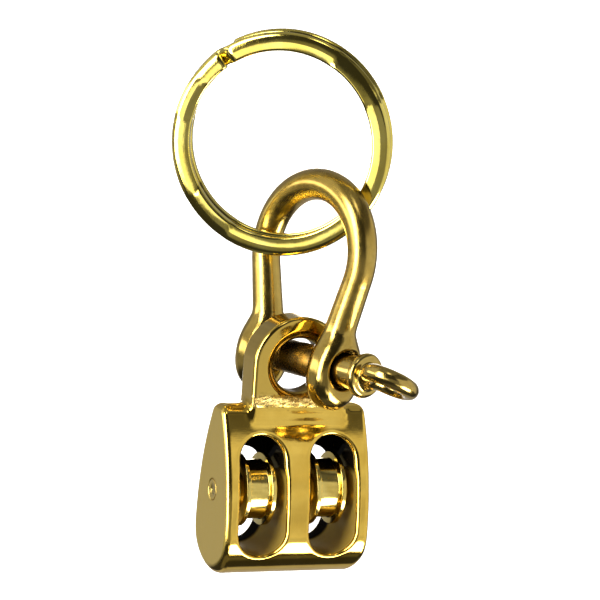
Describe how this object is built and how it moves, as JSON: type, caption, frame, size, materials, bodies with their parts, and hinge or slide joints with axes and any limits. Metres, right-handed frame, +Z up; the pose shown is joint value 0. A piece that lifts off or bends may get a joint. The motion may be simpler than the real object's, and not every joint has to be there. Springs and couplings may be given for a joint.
{
  "type": "double_sheave_block",
  "caption": "Small cast brass pulley block with its sheaves side by side on one axle, hung from a bow shackle with a screw pin and a split ring",
  "frame": {"origin": "highest point of the inside of the split ring, where the part hangs", "axes": "+X along the sheave axle, out of the right-hand cheek; +Y from the front to the back; +Z up, from the block to the ring"},
  "size_m": [0.0252, 0.0333, 0.0702],
  "materials": {
    "shell_brass": "polished",
    "turned_brass": "polished",
    "shackle_brass": "satin",
    "ring_brass": "polished"
  },
  "bodies": {
    "ring": {"split_ring": "ring_brass"},
    "bow": {"shackle_bow": "shackle_brass"},
    "pin": {"shackle_pin": "shackle_brass"},
    "block": {"block_shell": "shell_brass", "axle_pin": "turned_brass"},
    "sheave_left": {"sheave_left": "turned_brass"},
    "sheave_right": {"sheave_right": "turned_brass"}
  },
  "joints": [
    {"name": "ring_run", "type": "hinge", "parent": "ring", "child": "bow", "pos_m": [0.00002, 0.00003, -0.012], "axis": [0.5621, 0.8271, 0.0035], "range_deg": [-85, 110]},
    {"name": "pin_draw", "type": "slide", "parent": "bow", "child": "pin", "axis": [0.3551, -0.9348, -0.0087], "range_m": [-0.0026, 0.011]},
    {"name": "block_swing", "type": "hinge", "parent": "bow", "child": "block", "pos_m": [0.00249, -0.0046, -0.03936], "axis": [0.3551, -0.9348, -0.0087], "range_deg": [-80, 80]},
    {"name": "sheave_left_spin", "type": "hinge", "parent": "block", "child": "sheave_left", "pos_m": [-0.00296, -0.0043, -0.05656], "axis": [1, 0, 0], "continuous": true},
    {"name": "sheave_right_spin", "type": "hinge", "parent": "block", "child": "sheave_right", "pos_m": [0.00674, -0.0043, -0.05656], "axis": [1, 0, 0], "continuous": true}
  ]
}
